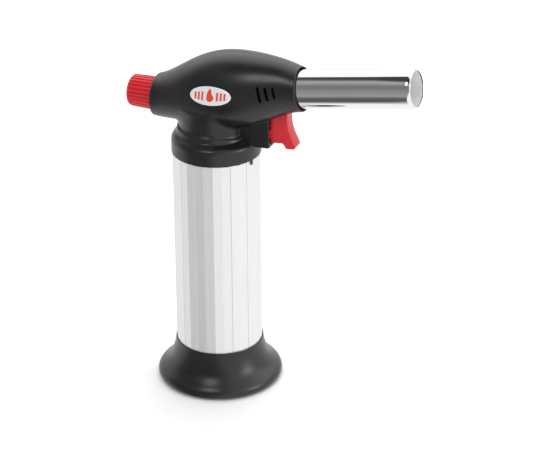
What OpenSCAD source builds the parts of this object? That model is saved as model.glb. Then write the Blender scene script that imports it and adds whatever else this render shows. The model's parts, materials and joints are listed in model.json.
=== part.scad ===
// Butane torch: a fluted grip tank on a bell-shaped foot carries a moulded gun-shaped head
// with a flame knob at the rear, a sliding trigger below and a tilted burner tube in front.
// Millimetres, +Z up. Origin: bottom centre of the foot, on the axis of the tank.
// +X points the way the flame goes, and the torch is nearly symmetric about the plane Y = 0.

/* [Tank] */
// Outside diameter of the grip tank
tank_d = 50; // [40:1:60]
// Wall thickness of the tank
tank_wall = 1.8; // [1:0.1:3]
// Number of grooves round the tank
tank_flutes = 15; // [9:1:24]
// Height at which the tank comes out of the foot
tank_bottom = 25.3; // [18:0.1:32]
// Height at which the tank goes into the collar of the head
tank_top = 144; // [110:1:180]

/* [Foot] */
// Largest radius of the foot
foot_r = 36.4; // [30:0.1:45]

/* [Head] */
// Height of the flame knob's axis
knob_z = 172.6; // [160:0.1:190]
// Wall thickness of the head
head_wall = 2; // [1.2:0.1:3]
// Radius of the collar
collar_r = 25.6; // [22:0.1:30]
// Half width of the trigger housing
housing_w = 6.5; // [5:0.1:9]

/* [Burner] */
// Outside diameter of the burner tube
burner_d = 22; // [16:0.5:30]
// Wall thickness of the burner tube
burner_wall = 0.6; // [0.4:0.1:1.5]
// Upward tilt of the burner in degrees
burner_tilt = 9.3; // [0:0.1:20]
// Height at which the burner axis crosses the tank axis
burner_z = 181; // [175:0.1:190]
// Distance along the burner axis to the mouth
burner_end = 120.9; // [80:0.1:150]

/* [Controls] */
// Largest radius of the flame knob
knob_r = 9.6; // [7:0.1:12]
// Number of ribs round the flame knob
knob_ribs = 26; // [12:1:40]
// Half width of the trigger
trigger_w = 3.9; // [3.5:0.1:4.5]

/* [Output] */
// Which sub-part to draw

/* [Hidden] */
tank_r = tank_d / 2;
bore_r = tank_r - tank_wall;
burner_r = burner_d / 2;
sleeve_low = tank_bottom - 4.8;
sleeve_high = tank_top + 3;
seat_z = sleeve_low - 3.4;
piezo_z = 161.5;
pivot = [9, 0, 177];
electrode_drop = 7.6;
rear_end = [-35, knob_z];
front_end = [52.1, 189.5];
head_steps = 12;
screw_spots = [[-22, 184.8], [25, 196.6], [-15.6, 157.6]];
eps = 0.01;

// ---------- shared helpers ----------

// straight round bar between two points
module rod(p, q, r) {
    d = q - p;
    translate(p)
        rotate([0, acos(d[2] / norm(d)), atan2(d[1], d[0])])
            cylinder(r = r, h = norm(d));
}

// local Z runs forward along the tilted burner axis, local X points down
module burner_frame() {
    translate([0, 0, burner_z])
        rotate([0, 90 - burner_tilt, 0])
            children();
}

// local Z runs forward along a level axis at height z
module level_frame(z) {
    translate([0, 0, z])
        rotate([0, 90, 0])
            children();
}

// round wire coil with ground ends, built up along Z
module coil(mean_r, wire_r, turns, length) {
    sweep = 360 * wire_r * turns / length;
    linear_extrude(height = length, twist = -360 * turns, slices = ceil(turns * 14))
        polygon([for (k = [0:7])
            let (r = mean_r + wire_r * cos(45 * k), b = sweep * sin(45 * k))
            [r * cos(b), r * sin(b)]]);
}

// rubber ring of wire radius w whose middle line has radius r
module o_ring(r, w) {
    rotate_extrude($fn = 64)
        translate([r, 0])
            circle(r = w, $fn = 16);
}

function curve(c, t) =
    c[0] * pow(1 - t, 5) + 5 * c[1] * pow(1 - t, 4) * t
    + 10 * c[2] * pow(1 - t, 3) * pow(t, 2) + 10 * c[3] * pow(1 - t, 2) * pow(t, 3)
    + 5 * c[4] * (1 - t) * pow(t, 4) + c[5] * pow(t, 5);

// distances from the head's spine to its top, its belly and its sides
function head_up(t) = curve([12.4, 14.5, 36.5, 19.4, 23.2, 12.8], t);
function head_down(t) = curve([12.4, 17, 12, 33.5, 10.5, 12.8], t);
function head_side(t) = curve([12.4, 16, 25, 25, 17, 12.8], t);

// one thin egg-shaped slice of the head, shrunk by inset
module head_slice(t, inset) {
    up = head_up(t) - inset;
    down = head_down(t) - inset;
    side = head_side(t) - inset;
    at = rear_end + t * (front_end - rear_end);
    translate([at[0], 0, at[1]])
        rotate([0, 90 - burner_tilt * t, 0])
            linear_extrude(0.02)
                polygon([for (k = [0:35])
                    let (a = 10 * k, tall = (a < 180) ? up : down)
                    [-tall * sin(a), side * cos(a)]]);
}

// outer form of the head, shrunk by inset
module head_form(inset) {
    for (k = [0:head_steps - 1]) {
        hull() {
            head_slice(k / head_steps, inset);
            head_slice((k + 1) / head_steps, inset);
        }
    }
}

// ---------- foot ----------

module base_foot() {
    color([0.08, 0.08, 0.085])
        difference() {
            rotate_extrude($fn = 96)
                polygon([
                    [29, 0.5], [foot_r - 1.4, 0.5], [foot_r - 0.4, 1.6], [foot_r, 3],
                    [foot_r - 0.3, 4.6], [foot_r - 1.2, 6], [foot_r - 2.8, 7.8],
                    [foot_r - 4.9, 9.7], [foot_r - 6.8, 12.1], [foot_r - 8.2, 14.8],
                    [foot_r - 9.3, 17.6], [foot_r - 10.1, 20.4], [tank_r + 0.7, 22.8],
                    [tank_r + 0.5, tank_bottom], [tank_r + 0.15, tank_bottom],
                    [tank_r + 0.15, seat_z], [4.7, seat_z], [4.7, 14], [24, 14],
                    [26.6, 12], [29, 8]
                ]);
            translate([0, 0, 0.4])
                difference() {
                    cylinder(r = 33.5, h = 1.4, $fn = 96);
                    cylinder(r = 30, h = 1.4, $fn = 96);
                }
            for (a = [30:120:270])
                rotate(a)
                    translate([14, 0, 10])
                        cylinder(r = 1.7, h = 12, $fn = 24);
        }
}

module base_pad() {
    color([0.05, 0.05, 0.05])
        difference() {
            cylinder(r = 33.4, h = 1.7, $fn = 96);
            translate([0, 0, -1])
                cylinder(r = 30.1, h = 4, $fn = 96);
        }
}

module base_screws() {
    color([0.7, 0.7, 0.72])
        for (a = [30:120:270])
            rotate(a)
                translate([14, 0, 0])
                    difference() {
                        union() {
                            translate([0, 0, 11.9])
                                cylinder(r = 2.8, h = 2, $fn = 24);
                            translate([0, 0, 13.8])
                                cylinder(r = 1.45, h = 11, $fn = 24);
                        }
                        translate([-0.4, -1.8, 11])
                            cube([0.8, 3.6, 1.7]);
                        translate([-1.8, -0.4, 11])
                            cube([3.6, 0.8, 1.7]);
                    }
}

// ---------- tank ----------

// fluted extrusion: narrow grooves with a faint ridge half way between each pair
module tank_sleeve() {
    color([0.86, 0.87, 0.88])
        translate([0, 0, sleeve_low])
            linear_extrude(sleeve_high - sleeve_low)
                difference() {
                    rotate(180 / tank_flutes)
                        circle(r = tank_r, $fn = tank_flutes * 4);
                    circle(r = bore_r, $fn = 96);
                    for (k = [0:tank_flutes - 1])
                        rotate(k * 360 / tank_flutes)
                            translate([tank_r + 0.05, 0])
                                circle(r = 0.42, $fn = 12);
                }
}

module tank_bottom_cap() {
    color([0.55, 0.56, 0.58])
        difference() {
            rotate_extrude($fn = 96)
                polygon([
                    [4.3, seat_z + 0.05], [tank_r - 0.1, seat_z + 0.05],
                    [tank_r - 0.1, sleeve_low - 0.05], [bore_r - 0.1, sleeve_low - 0.05],
                    [bore_r - 0.1, 23.4], [21.3, 23.4], [21.3, 25.4], [bore_r - 0.1, 25.4],
                    [bore_r - 0.1, 28.4], [bore_r - 1, 29.3], [4.3, 29.3]
                ]);
            for (a = [30:120:270])
                rotate(a)
                    translate([14, 0, seat_z - 1])
                        cylinder(r = 1.5, h = 9, $fn = 24);
        }
}

module tank_bottom_seal() {
    color([0.06, 0.06, 0.06])
        translate([0, 0, 24.4])
            o_ring(22.24, 0.9);
}

module tank_top_cap() {
    color([0.55, 0.56, 0.58])
        difference() {
            rotate_extrude($fn = 96)
                polygon([
                    [0, 135], [bore_r - 1, 135], [bore_r - 0.1, 135.9], [bore_r - 0.1, 139.4],
                    [21.3, 139.4], [21.3, 141.4], [bore_r - 0.1, 141.4],
                    [bore_r - 0.1, sleeve_high + 0.05], [tank_r - 0.2, sleeve_high + 0.05],
                    [tank_r - 0.2, 149.4], [9.3, 149.4], [9.3, 152.6], [12, 152.6],
                    [12, 154.6], [0, 154.6]
                ]);
            translate([-7.5, 0, 130])
                cylinder(r = 2.05, h = 30, $fn = 32);
        }
}

module tank_top_seal() {
    color([0.06, 0.06, 0.06])
        translate([0, 0, 140.4])
            o_ring(22.24, 0.9);
}

module refill_valve_body() {
    color([0.8, 0.62, 0.3])
        difference() {
            rotate_extrude($fn = 64)
                polygon([
                    [2.1, 12.5], [4.2, 12.5], [4.2, 31], [0, 31], [0, 29.4], [2.6, 29.4],
                    [2.6, 20], [1.3, 20], [1.3, 16.6], [2.1, 16.6]
                ]);
            for (a = [0:120:240])
                rotate(a)
                    translate([1.5, 0, 28])
                        cylinder(r = 0.6, h = 5, $fn = 16);
        }
}

module refill_valve_stem() {
    color([0.75, 0.75, 0.77])
        difference() {
            rotate_extrude($fn = 48)
                polygon([
                    [0, 16.7], [1.2, 16.7], [1.2, 20.3], [2.4, 20.3], [2.4, 21.6],
                    [1.3, 21.6], [1.3, 23], [0, 23]
                ]);
            translate([0, 0, 16])
                cylinder(r = 0.5, h = 3, $fn = 16);
        }
}

module refill_valve_spring() {
    color([0.7, 0.7, 0.72])
        translate([0, 0, 21.8])
            coil(1.9, 0.3, 5, 7.4);
}

// porous feed tube that hangs in the tank below the outlet
module wick_tube() {
    color([0.85, 0.83, 0.78])
        translate([-7.5, 0, 0])
            difference() {
                union() {
                    translate([0, 0, 48])
                        cylinder(r = 1.6, h = 90, $fn = 32);
                    translate([0, 0, 40])
                        cylinder(r = 2.6, h = 9, $fn = 32);
                }
                translate([0, 0, 39])
                    cylinder(r = 0.9, h = 101, $fn = 24);
            }
}

// ---------- gas path ----------

module gas_outlet() {
    color([0.8, 0.62, 0.3])
        translate([-7.5, 0, 0])
            difference() {
                union() {
                    translate([0, 0, 139])
                        cylinder(r = 2, h = 20, $fn = 32);
                    translate([0, 0, 154.8])
                        cylinder(r = 2.8, h = 2.4, $fn = 6);
                }
                translate([0, 0, 138])
                    cylinder(r = 1, h = 19, $fn = 24);
                translate([0, 0, 156.5])
                    cylinder(r = 1.65, h = 4, $fn = 24);
            }
}

module riser_pipe() {
    low = [-7.5, 0, 157.2];
    bend = [-7.5, 0, 163.2];
    back = [-20, 0, 166];
    top = [-20, 0, 169.2];
    color([0.78, 0.6, 0.3])
        difference() {
            union() {
                rod(low, bend, 1.6, $fn = 24);
                rod(bend, back, 1.6, $fn = 24);
                rod(back, top, 1.6, $fn = 24);
                for (p = [bend, back])
                    translate(p)
                        sphere(r = 2, $fn = 24);
            }
            rod(low - [0, 0, 1], low + [0, 0, 3], 0.9, $fn = 16);
            rod(top - [0, 0, 1], top + [0, 0, 1], 0.9, $fn = 16);
        }
}

module valve_body() {
    color([0.8, 0.62, 0.3])
        difference() {
            level_frame(knob_z)
                rotate_extrude($fn = 64)
                    polygon([
                        [2.55, -30], [5, -30], [5, -1.5], [2.3, -0.8], [2.3, 1.2], [1.3, 1.2],
                        [1.3, -2], [1.9, -2],
                        [1.9, -5], [3.2, -5], [3.2, -14], [1, -14], [1, -18], [3.2, -18],
                        [3.2, -24], [2.55, -24]
                    ]);
            translate([-20, 0, 167])
                cylinder(r = 1.65, h = 3.2, $fn = 24);
            translate([-3.5, 0, knob_z + 1])
                cylinder(r = 1.55, h = 6, $fn = 24);
        }
}

module valve_spindle() {
    color([0.75, 0.75, 0.77])
        level_frame(knob_z)
            rotate_extrude($fn = 48)
                polygon([
                    [0, -46], [2.5, -46], [2.5, -28.1], [1.7, -28.1], [1.7, -27.1],
                    [2.5, -27.1], [2.5, -22.6], [1.8, -22], [0.9, -20.6], [0.85, -17.4],
                    [0.3, -15.2], [0, -15.2]
                ]);
}

module spindle_seal() {
    color([0.06, 0.06, 0.06])
        level_frame(knob_z)
            translate([0, 0, -27.6])
                o_ring(2.12, 0.4);
}

module gas_poppet() {
    color([0.75, 0.75, 0.77])
        level_frame(knob_z)
            rotate_extrude($fn = 48)
                polygon([
                    [0, -8], [1.4, -8], [1.4, -7.2], [2.8, -7.2], [2.8, -5.4], [1.2, -5.4],
                    [1.2, 6.6], [0.8, 6.95], [0, 6.95]
                ]);
}

module poppet_spring() {
    color([0.7, 0.7, 0.72])
        level_frame(knob_z)
            translate([0, 0, -13.8])
                coil(2.2, 0.3, 3.5, 6.4);
}

module gas_lever() {
    color([0.72, 0.73, 0.75])
        difference() {
            rotate([90, 0, 0])
                translate([0, 0, -2.6])
                    linear_extrude(5.2)
                        union() {
                            polygon([
                                [8.1, 177], [7.5, 172.6], [4.1, 163.5], [4.1, 157.5],
                                [5.7, 157.5], [5.7, 163.5], [9.3, 172.6], [9.9, 177]
                            ]);
                            translate([pivot[0], pivot[2]])
                                circle(r = 2, $fn = 32);
                        }
            translate([pivot[0], 10, pivot[2]])
                rotate([90, 0, 0])
                    cylinder(r = 1.05, h = 20, $fn = 32);
        }
}

module lever_pin() {
    color([0.7, 0.7, 0.72])
        translate([pivot[0], 9.4, pivot[2]])
            rotate([90, 0, 0])
                cylinder(r = 1, h = 18.8, $fn = 32);
}

module gas_pipe() {
    low = [-3.5, 0, knob_z + 3.4];
    bend = [-3.5, 0, 180.4];
    tip = [10.2 * cos(burner_tilt), 0, burner_z + 10.2 * sin(burner_tilt)];
    color([0.78, 0.6, 0.3])
        difference() {
            union() {
                rod(low, bend, 1.5, $fn = 24);
                rod(bend, tip, 1.5, $fn = 24);
                translate(bend)
                    sphere(r = 1.9, $fn = 24);
            }
            rod(low - [0, 0, 1], low + [0, 0, 2], 0.8, $fn = 16);
        }
}

module gas_jet() {
    color([0.8, 0.62, 0.3])
        burner_frame()
            difference() {
                union() {
                    translate([0, 0, 10.3])
                        cylinder(r = 3.2, h = 4, $fn = 6);
                    translate([0, 0, 14.2])
                        cylinder(r = 2.3, h = 5, $fn = 32);
                }
                translate([0, 0, 9])
                    cylinder(r = 0.8, h = 9, $fn = 16);
                translate([0, 0, 17])
                    cylinder(r = 0.3, h = 4, $fn = 12);
            }
}

// ---------- burner ----------

module mixer_tube() {
    color([0.78, 0.6, 0.3])
        burner_frame()
            difference() {
                translate([0, 0, 16])
                    cylinder(r = 5.2, h = 46, $fn = 48);
                translate([0, 0, 17.5])
                    cylinder(r = 4.4, h = 46, $fn = 48);
                translate([0, 0, 15])
                    cylinder(r = 2.35, h = 4, $fn = 32);
                for (a = [45:90:315])
                    rotate(a)
                        translate([0, 0, 24])
                            rotate([0, 90, 0])
                                cylinder(r = 1.7, h = 8, $fn = 24);
            }
}

module burner_cup() {
    color([0.8, 0.8, 0.82])
        burner_frame()
            difference() {
                rotate_extrude($fn = 64)
                    polygon([
                        [5.25, 41], [burner_r - 0.65, 41], [burner_r - 0.65, 47],
                        [burner_r - 1.5, 47], [burner_r - 1.5, 42.6], [5.25, 42.6]
                    ]);
                translate([electrode_drop, 0, 38])
                    cylinder(r = 1.65, h = 10, $fn = 24);
                for (a = [60:60:300])
                    rotate(a)
                        translate([7.4, 0, 38])
                            cylinder(r = 1.2, h = 10, $fn = 20);
            }
}

module flame_holder() {
    color([0.8, 0.66, 0.36])
        burner_frame()
            difference() {
                translate([0, 0, 84])
                    cylinder(r = burner_r - 0.65, h = 5, $fn = 64);
                translate([0, 0, 80])
                    cylinder(r = 2.2, h = 12, $fn = 24);
                translate([electrode_drop, 0, 80])
                    cylinder(r = 1.65, h = 12, $fn = 24);
                for (a = [30:60:330])
                    rotate(a)
                        translate([5.4, 0, 80])
                            cylinder(r = 1.2, h = 12, $fn = 20);
                for (a = [30:30:330])
                    rotate(a)
                        translate([8.8, 0, 80])
                            cylinder(r = 0.6, h = 12, $fn = 12);
            }
}

module burner_tube() {
    color([0.8, 0.81, 0.83])
        burner_frame()
            rotate_extrude($fn = 96)
                polygon([
                    [burner_r - burner_wall, 40], [burner_r - 0.3, 40],
                    [burner_r - 0.3, 55.8], [burner_r, 56.2], [burner_r, burner_end - 0.2],
                    [burner_r - 0.2, burner_end], [burner_r - burner_wall, burner_end]
                ]);
}

module tube_ring() {
    color([0.7, 0.68, 0.62])
        burner_frame()
            translate([0, 0, 46])
                difference() {
                    cylinder(r = 12.1, h = 3, $fn = 64);
                    translate([0, 0, -1])
                        cylinder(r = burner_r - 0.28, h = 5, $fn = 64);
                }
}

// ---------- ignition ----------

module electrode() {
    color([0.6, 0.6, 0.62])
        burner_frame()
            translate([electrode_drop, 0, 33])
                cylinder(r = 0.5, h = 63, $fn = 16);
}

module electrode_insulator() {
    color([0.93, 0.92, 0.88])
        burner_frame()
            translate([electrode_drop, 0, 36])
                difference() {
                    cylinder(r = 1.6, h = 56, $fn = 24);
                    translate([0, 0, -1])
                        cylinder(r = 0.55, h = 58, $fn = 16);
                }
}

module ignition_lead() {
    stops = [
        [14, 0, piezo_z + 4.05], [14, 0, 170], [21, 0, 175.8], [29, 0, 177.6],
        [33 * cos(burner_tilt) + electrode_drop * sin(burner_tilt), 0,
            burner_z + 33 * sin(burner_tilt) - electrode_drop * cos(burner_tilt)]
    ];
    color([0.12, 0.12, 0.12]) {
        for (k = [0:3])
            rod(stops[k], stops[k + 1], 0.8, $fn = 20);
        for (k = [1:3])
            translate(stops[k])
                sphere(r = 0.8, $fn = 20);
    }
}

module piezo_body() {
    color([0.9, 0.88, 0.8])
        difference() {
            translate([9.6, -3.7, piezo_z - 4])
                cube([19.4, 7.4, 8]);
            level_frame(piezo_z)
                translate([0, 0, 21])
                    cylinder(r = 1.78, h = 12, $fn = 32);
        }
}

module piezo_plunger() {
    color([0.85, 0.83, 0.76])
        level_frame(piezo_z)
            translate([0, 0, 27.4])
                cylinder(r = 1.7, h = 14.2, $fn = 32);
}

module trigger_spring() {
    color([0.7, 0.7, 0.72])
        level_frame(piezo_z)
            translate([0, 0, 29.4])
                coil(2.45, 0.3, 6, 12.2);
}

// ---------- controls ----------

module trigger() {
    color([0.8, 0.1, 0.13])
        difference() {
            union() {
                rotate([90, 0, 0])
                    translate([0, 0, -trigger_w])
                        linear_extrude(2 * trigger_w)
                            polygon([
                                [34.9, 155.8], [37.7, 156], [41.8, 156.4], [42.7, 156],
                                [43.4, 155], [44.1, 153.7], [44.7, 153.4], [48.6, 153.7],
                                [49.4, 154.3], [49.7, 155.4], [49.3, 156.6], [48.5, 158.1],
                                [47.2, 160.7], [46.2, 163.1], [45.5, 165.7], [45.1, 168.3],
                                [44.9, 171], [45.2, 174.9], [36.6, 174.9], [34.9, 169.6]
                            ]);
                for (side = [-1, 1])
                    translate([6.1, side * 4.5 - 0.5, piezo_z - 3.3])
                        cube([30, 1, 5.3]);
                translate([6.1, -5, piezo_z - 3.3])
                    cube([2.5, 10, 3.3]);
                translate([34.9, -5, piezo_z - 3.3])
                    cube([1.2, 10, 5.3]);
            }
            level_frame(piezo_z)
                translate([0, 0, 30])
                    cylinder(r = 3.1, h = 12, $fn = 48);
        }
}

module flame_knob() {
    color([0.8, 0.1, 0.13])
        difference() {
            level_frame(knob_z)
                union() {
                    difference() {
                        translate([0, 0, -51])
                            linear_extrude(15.8)
                                difference() {
                                    circle(r = knob_r, $fn = 104);
                                    for (k = [0:knob_ribs - 1])
                                        rotate(k * 360 / knob_ribs)
                                            translate([knob_r + 0.25, 0])
                                                circle(r = 0.7, $fn = 12);
                                }
                        translate([0, 0, -51 - eps])
                            rotate_extrude($fn = 64)
                                polygon([
                                    [knob_r - 1, 0], [knob_r + 1, 0], [knob_r + 1, 1.6],
                                    [knob_r, 1.6], [knob_r - 0.3, 0.7]
                                ]);
                    }
                    translate([0, 0, -51.8])
                        cylinder(r1 = knob_r - 1.5, r2 = knob_r - 0.9, h = 0.9, $fn = 64);
                    translate([0, 0, -35.3])
                        cylinder(r = knob_r - 0.7, h = 0.8, $fn = 64);
                }
            level_frame(knob_z)
                translate([0, 0, -48])
                    difference() {
                        cylinder(r = knob_r - 2.2, h = 16, $fn = 64);
                        cylinder(r = 4, h = 16, $fn = 48);
                    }
            level_frame(knob_z)
                translate([0, 0, -46.1])
                    cylinder(r = 2.52, h = 14, $fn = 48);
        }
}

// ---------- head ----------

// neck and collar that sit on the tank
module neck_form() {
    rotate_extrude($fn = 72)
        polygon([
            [0, tank_top], [collar_r, tank_top], [collar_r, 151.6], [collar_r - 0.2, 152.6],
            [collar_r - 0.6, 153.4], [collar_r - 1.2, 154.2], [collar_r - 2.2, 155],
            [collar_r - 3.2, 155.7], [collar_r - 3.8, 156.4], [collar_r - 4, 157.2],
            [collar_r - 4.1, 158.8], [collar_r - 4.4, 159.5], [collar_r - 4.9, 160.1],
            [collar_r - 4.9, 172], [0, 172]
        ]);
}

module rear_rim() {
    level_frame(knob_z)
        translate([0, 0, -35.9])
            rotate_extrude($fn = 64)
                polygon([[0, 0], [11.9, 0], [12.3, 0.4], [12.4, 1], [0, 1]]);
}

module front_rim() {
    burner_frame()
        translate([0, 0, 51])
            rotate_extrude($fn = 64)
                polygon([[0, 0], [12.8, 0], [12.9, 2.2], [12.6, 2.9], [12.2, 3.1], [0, 3.1]]);
}

module head_outside() {
    head_form(0);
    neck_form();
    rear_rim();
    front_rim();
    translate([8, -housing_w, 152.4])
        cube([27, 2 * housing_w, 24]);
}

// room inside the head for the works
module head_inside() {
    head_form(head_wall);
    translate([0, 0, 152.2])
        cylinder(r = 18.8, h = 19, $fn = 72);
    translate([0, 0, 140])
        cylinder(r = tank_r + 0.15, h = 9.8, $fn = 72);
    translate([0, 0, 149])
        cylinder(r = 9.6, h = 5, $fn = 72);
    translate([10, -5.3, 154.2])
        cube([30, 10.6, 20]);
    translate([33.4, -4.8, 160])
        cube([12.8, 9.6, 18]);
}

// bulkheads and bosses that carry the works, before the bores are cut
module head_ribs() {
    intersection() {
        head_form(0.8);
        union() {
            for (x = [-27, -12.4])
                translate([x, -30, 166.8])
                    cube([1.6, 60, 16.7]);
            translate([pivot[0] - 3, -30, pivot[2] - 3])
                cube([6, 26.4, 6]);
            translate([pivot[0] - 3, 3.6, pivot[2] - 3])
                cube([6, 26.4, 6]);
        }
    }
    intersection() {
        union() {
            head_form(0.8);
            cylinder(r = 20, h = 170, $fn = 48);
        }
        for (p = screw_spots)
            translate([p[0], 30, p[1]])
                rotate([90, 0, 0])
                    cylinder(r = 2.9, h = 60, $fn = 24);
    }
}

module head_bores() {
    level_frame(knob_z) {
        translate([0, 0, -60])
            cylinder(r = knob_r + 0.3, h = 26, $fn = 64);
        translate([0, 0, -60])
            cylinder(r = 5.1, h = 66, $fn = 48);
    }
    burner_frame() {
        translate([0, 0, 38])
            cylinder(r = 11.5, h = 40, $fn = 64);
        translate([0, 0, 45.9])
            cylinder(r = 12.3, h = 3.2, $fn = 64);
    }
    translate([pivot[0], 9.6, pivot[2]])
        rotate([90, 0, 0])
            cylinder(r = 1.05, h = 19.2, $fn = 24);
    for (k = [0:2])
        burner_frame()
            translate([-3.2, 0, 34.6 + 4 * k])
                vent(9.4 - 1.2 * k);
}

// air slot right through both sides
module vent(length) {
    for (d = [-0.5, 0.5])
        translate([d * (length - 1.8), 30, 0])
            rotate([90, 0, 0])
                cylinder(r = 0.9, h = 60, $fn = 16);
    translate([-(length - 1.8) / 2, -30, -0.9])
        cube([length - 1.8, 60, 1.8]);
}

// oval outline of the badge, run into the right side of the head
module badge_prism(grow) {
    translate([6, -14, 186])
        rotate([90, -6, 0])
            scale([13.1 + grow, 5.6 + grow, 1])
                cylinder(r = 1, h = 12, $fn = 48);
}

module head_shell(side) {
    difference() {
        union() {
            difference() {
                head_outside();
                head_inside();
            }
            head_ribs();
        }
        head_bores();
        translate([-80, (side > 0) ? -60 + 0.02 : -0.02, 120])
            cube([200, 60, 120]);
        difference() {
            badge_prism(0.1);
            head_form(0.75);
        }
        for (p = screw_spots)
            translate([p[0], 30, p[1]])
                rotate([90, 0, 0]) {
                    cylinder(r = 1.05, h = 34, $fn = 20);
                    if (side > 0)
                        cylinder(r = 2.1, h = 22, $fn = 20);
                }
    }
}

module head_shell_right() {
    color([0.1, 0.1, 0.105]) {
        head_shell(-1);
        rotate(-15)
            translate([tank_r + 0.1, -0.8, tank_top - 2.6])
                cube([0.5, 1.6, 3.2]);
    }
}

module head_shell_left() {
    color([0.1, 0.1, 0.105])
        head_shell(1);
}

module shell_screws() {
    color([0.3, 0.3, 0.32])
        for (p = screw_spots)
            translate([p[0], 0, p[1]])
                rotate([-90, 0, 0])
                    difference() {
                        union() {
                            translate([0, 0, -3.6])
                                cylinder(r = 1, h = 11, $fn = 20);
                            translate([0, 0, 8.1])
                                cylinder(r = 1.9, h = 1.5, $fn = 20);
                            translate([0, 0, 7.2])
                                cylinder(r = 1, h = 1, $fn = 20);
                        }
                        translate([-1.2, -0.25, 8.8])
                            cube([2.4, 0.5, 1]);
                        translate([-0.25, -1.2, 8.8])
                            cube([0.5, 2.4, 1]);
                    }
}

module badge_plate() {
    color([0.85, 0.86, 0.87])
        difference() {
            intersection() {
                badge_prism(0);
                head_form(-0.3);
            }
            head_form(0.68);
        }
}

module badge_flame() {
    color([0.8, 0.1, 0.13])
        intersection() {
            difference() {
                head_form(-0.5);
                head_form(-0.33);
            }
            translate([6, -14, 186])
                rotate([90, 0, 0])
                    linear_extrude(12) {
                        polygon([
                            [0, -3.6], [2, -3], [2.9, -1.2], [2.4, 0.8], [1.5, 2], [1.3, 0.8],
                            [0.6, 3.8], [-0.9, 1.9], [-1.3, 0.6], [-1.9, 1.4], [-2.8, -0.8],
                            [-2.2, -2.8]
                        ]);
                        for (side = [-1, 1])
                            for (k = [2:4])
                                translate([side * (0.2 + 2.2 * k), -0.45 * side])
                                    rotate(-6)
                                        square([1.2, 5.8 - 0.5 * k], center = true);
                    }
        }
}

base_foot();
base_pad();
base_screws();
tank_sleeve();
tank_bottom_cap();
tank_top_cap();
tank_bottom_seal();
tank_top_seal();
refill_valve_body();
refill_valve_stem();
refill_valve_spring();
wick_tube();
gas_outlet();
riser_pipe();
head_shell_right();
head_shell_left();
shell_screws();
badge_plate();
badge_flame();
valve_body();
valve_spindle();
spindle_seal();
flame_knob();
gas_poppet();
poppet_spring();
gas_lever();
lever_pin();
gas_pipe();
gas_jet();
mixer_tube();
burner_cup();
flame_holder();
burner_tube();
tube_ring();
electrode();
electrode_insulator();
ignition_lead();
piezo_body();
piezo_plunger();
trigger();
trigger_spring();
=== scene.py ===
"""Butane torch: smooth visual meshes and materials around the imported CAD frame. Lengths below
are in millimetres until a mesh is made, when they turn into metres."""
import json
import math
from contextlib import contextmanager
from itertools import product

import bmesh
import bpy
import numpy as np
from mathutils import Matrix, Vector


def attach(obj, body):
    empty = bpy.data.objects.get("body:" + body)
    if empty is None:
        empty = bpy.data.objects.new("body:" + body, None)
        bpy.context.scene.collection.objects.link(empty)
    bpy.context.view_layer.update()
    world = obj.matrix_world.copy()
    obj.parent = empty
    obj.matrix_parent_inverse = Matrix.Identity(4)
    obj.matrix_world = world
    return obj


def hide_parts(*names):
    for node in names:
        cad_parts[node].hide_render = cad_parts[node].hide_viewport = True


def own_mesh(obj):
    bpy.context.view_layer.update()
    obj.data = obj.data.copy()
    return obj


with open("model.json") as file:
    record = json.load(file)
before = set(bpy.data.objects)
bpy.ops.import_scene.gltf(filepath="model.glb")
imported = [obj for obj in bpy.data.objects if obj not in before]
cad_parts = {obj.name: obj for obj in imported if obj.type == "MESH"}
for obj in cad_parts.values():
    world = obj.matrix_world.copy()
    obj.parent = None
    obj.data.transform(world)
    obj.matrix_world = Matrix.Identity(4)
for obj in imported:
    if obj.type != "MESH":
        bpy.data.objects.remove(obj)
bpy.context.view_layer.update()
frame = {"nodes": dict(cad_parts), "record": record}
MM = 0.001

TILT = math.radians(9.3)  # of the burner, upwards
BURNER_Z = 181.0  # where the burner's axis crosses the tank's
KNOB_Z = 172.6  # the knob's level axis
PIEZO_Z = 161.5  # the striker's level axis
TANK_TOP = 144.0  # lower edge of the collar


# ---------------------------------------------------------------- small helpers

def new_object(name, verts, faces, smooth=True):
    """Mesh object from points in millimetres."""
    mesh = bpy.data.meshes.new(name)
    mesh.from_pydata([tuple(c * MM for c in v) for v in verts], [], faces)
    mesh.validate()
    mesh.update()
    obj = bpy.data.objects.new(name, mesh)
    bpy.context.scene.collection.objects.link(obj)
    if smooth:
        mesh.polygons.foreach_set("use_smooth", [True] * len(mesh.polygons))
    return obj


@contextmanager
def editing(obj):
    """The object's mesh, open for edits that are written back at the end."""
    bm = bmesh.new()
    bm.from_mesh(obj.data)
    yield bm
    bm.to_mesh(obj.data)
    bm.free()


def weld(obj):
    """Joins points that coincide, drops faces of no area and turns the rest outwards."""
    with editing(obj) as bm:
        bmesh.ops.remove_doubles(bm, verts=bm.verts, dist=1e-7)
        bmesh.ops.dissolve_degenerate(bm, edges=bm.edges, dist=1e-8)
        bmesh.ops.recalc_face_normals(bm, faces=bm.faces)


def sharpen(obj, degrees):
    """Edges that bend more than this stay crisp; the rest shade smooth."""
    limit = math.radians(degrees)
    with editing(obj) as bm:
        bmesh.ops.recalc_face_normals(bm, faces=bm.faces)
        for e in bm.edges:
            e.smooth = len(e.link_faces) == 2 and e.calc_face_angle(0) < limit
        for f in bm.faces:
            f.smooth = True
    obj.data.update()


def apply_modifiers(obj):
    """Turns the object's modifiers into its mesh."""
    dg = bpy.context.evaluated_depsgraph_get()
    mesh = bpy.data.meshes.new_from_object(obj.evaluated_get(dg))
    obj.modifiers.clear()
    old = obj.data
    obj.data = mesh
    bpy.data.meshes.remove(old)


def cut(obj, tool, operation="DIFFERENCE"):
    """Takes the tool out of the object, or adds it, and uses the tool up."""
    mod = obj.modifiers.new("cut", "BOOLEAN")
    mod.operation = operation
    mod.object = tool
    mod.solver = "EXACT"
    apply_modifiers(obj)
    bpy.data.objects.remove(tool)


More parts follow.
